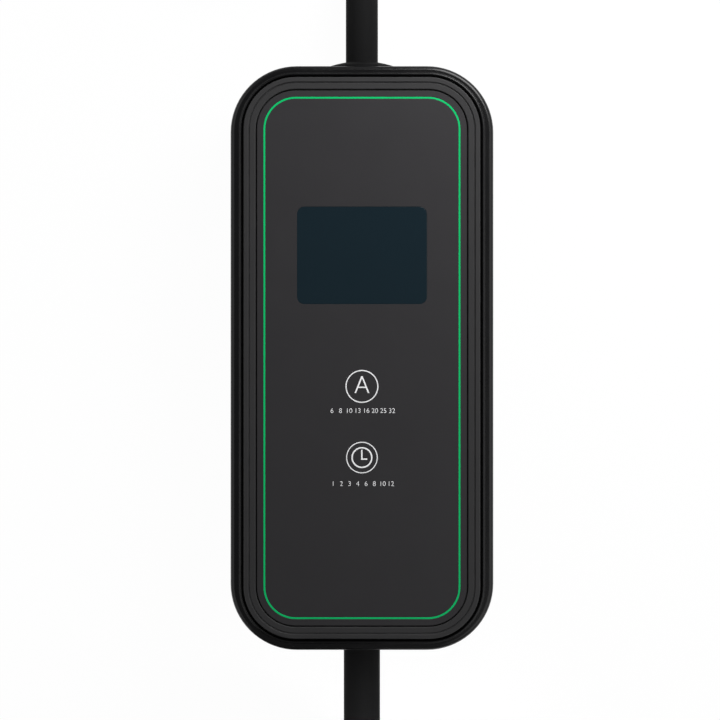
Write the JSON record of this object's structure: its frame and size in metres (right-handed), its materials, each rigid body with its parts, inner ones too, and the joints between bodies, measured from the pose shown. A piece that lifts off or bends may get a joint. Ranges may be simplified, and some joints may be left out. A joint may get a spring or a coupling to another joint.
{
  "type": "portable ev charger",
  "caption": "Flat control box with a framed touch panel and display window, a short mains lead with an earthed plug, and a long vehicle cable in a tied hank with its connector.",
  "frame": {"origin": "centre of the box's back face, on the surface that it lies on", "axes": "+X across the box, +Y along it towards the mains lead, +Z out of the front panel"},
  "size_m": [0.1694, 0.7508, 0.1075],
  "materials": {
    "housing_black": "fine satin grain",
    "bezel_grey": "satin",
    "panel_grey": "satin",
    "line_green": "satin",
    "window_dark": "polished",
    "glass": "polished",
    "steel": "zinc plated",
    "nickel": "nickel plated",
    "brass": "bright",
    "board_green": "solder mask",
    "part_dark": "satin",
    "part_blue": "satin",
    "part_green": "satin",
    "core_blue": "satin",
    "seal_grey": "matt",
    "seal_orange": "matt",
    "cord_black": "smooth jacket",
    "plug_black": "fine grain",
    "strap": "woven"
  },
  "bodies": {
    "root": {"rear_housing": "housing_black", "front_housing": "housing_black", "housing_seal": "seal_grey", "bezel_frame": "bezel_grey", "bezel_screws": "steel", "front_panel": "panel_grey", "green_trim": "line_green", "panel_tape": "part_dark", "display_window": "window_dark", "display_glass": "glass", "display_tray": "steel", "control_board": "board_green", "control_screws": "steel", "touch_springs": "brass", "ribbon_sockets": "part_dark", "ribbon_cable": "part_dark", "power_board": "board_green", "board_screws": "steel", "relays": "part_blue", "leakage_sensor": "part_dark", "sensor_wires": "core_blue", "supply_module": "part_dark", "capacitors": "part_blue", "varistors": "part_blue", "fuse_holder": "part_dark", "fuse": "nickel", "mains_terminals": "part_green", "vehicle_terminals": "part_green", "mains_cores": "core_blue", "vehicle_cores": "core_blue", "mains_gland": "plug_black", "mains_gland_nut": "plug_black", "vehicle_gland": "plug_black", "vehicle_gland_nut": "plug_black", "mains_cord_clamp": "part_dark", "vehicle_cord_clamp": "part_dark", "clamp_screws": "steel", "housing_screws": "steel", "mains_cord": "cord_black", "plug_boot": "cord_black", "plug_body": "plug_black", "plug_pins": "nickel", "plug_earth_clips": "nickel", "vehicle_lead": "cord_black", "vehicle_hank": "cord_black", "vehicle_tail": "cord_black", "hank_ties": "strap", "connector_boot": "cord_black", "handle_left": "plug_black", "handle_right": "plug_black", "handle_screws": "steel", "carrier_seal": "seal_orange", "contact_carrier": "plug_black", "power_contacts": "nickel", "signal_contacts": "nickel", "connector_cores": "core_blue"}
  },
  "joints": []
}
